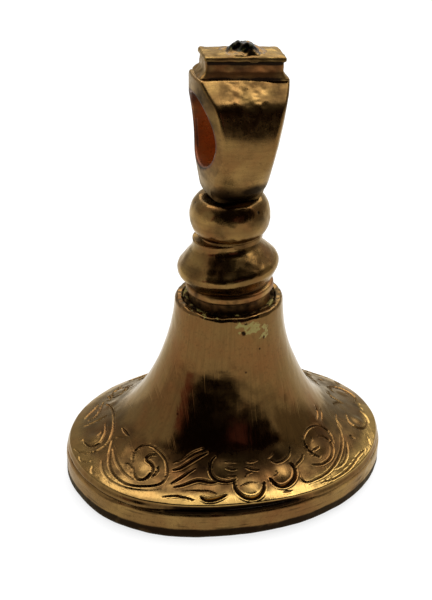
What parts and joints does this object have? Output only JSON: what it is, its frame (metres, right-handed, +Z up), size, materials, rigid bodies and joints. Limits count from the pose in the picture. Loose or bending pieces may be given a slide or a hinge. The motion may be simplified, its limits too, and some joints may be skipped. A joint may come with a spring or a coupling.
{
  "type": "wax seal stamp",
  "caption": "Small hanging fob seal for sealing wax: oval seal stone in a banded foot, flared bell, two turned knops and a pierced loop with a tablet on top.",
  "frame": {"origin": "middle of the seal stone's face, on the surface the seal stands on", "axes": "+X along the long axis of the oval foot and through the loop, +Y along the short axis, +Z up the stem"},
  "size_m": [0.0183, 0.015, 0.025],
  "materials": {
    "gilt_brass": "worn gilt with brown patina in the hollows",
    "bare_brass": "drawn wire",
    "stone": "polished brown-red hardstone",
    "cement": "dark shellac cement",
    "neck_solder": "tarnished yellow-green solder",
    "lump_solder": "dull grey solder"
  },
  "bodies": {
    "root": {"seal_stone": "stone", "bezel_band": "gilt_brass", "bell_shell": "gilt_brass", "setting_cement": "cement", "neck_collar": "gilt_brass", "neck_solder": "neck_solder", "stem_rod": "bare_brass", "lower_knop": "gilt_brass", "upper_knop": "gilt_brass", "suspension_loop": "gilt_brass", "crest_tablet": "gilt_brass", "solder_lump": "lump_solder"}
  },
  "joints": []
}
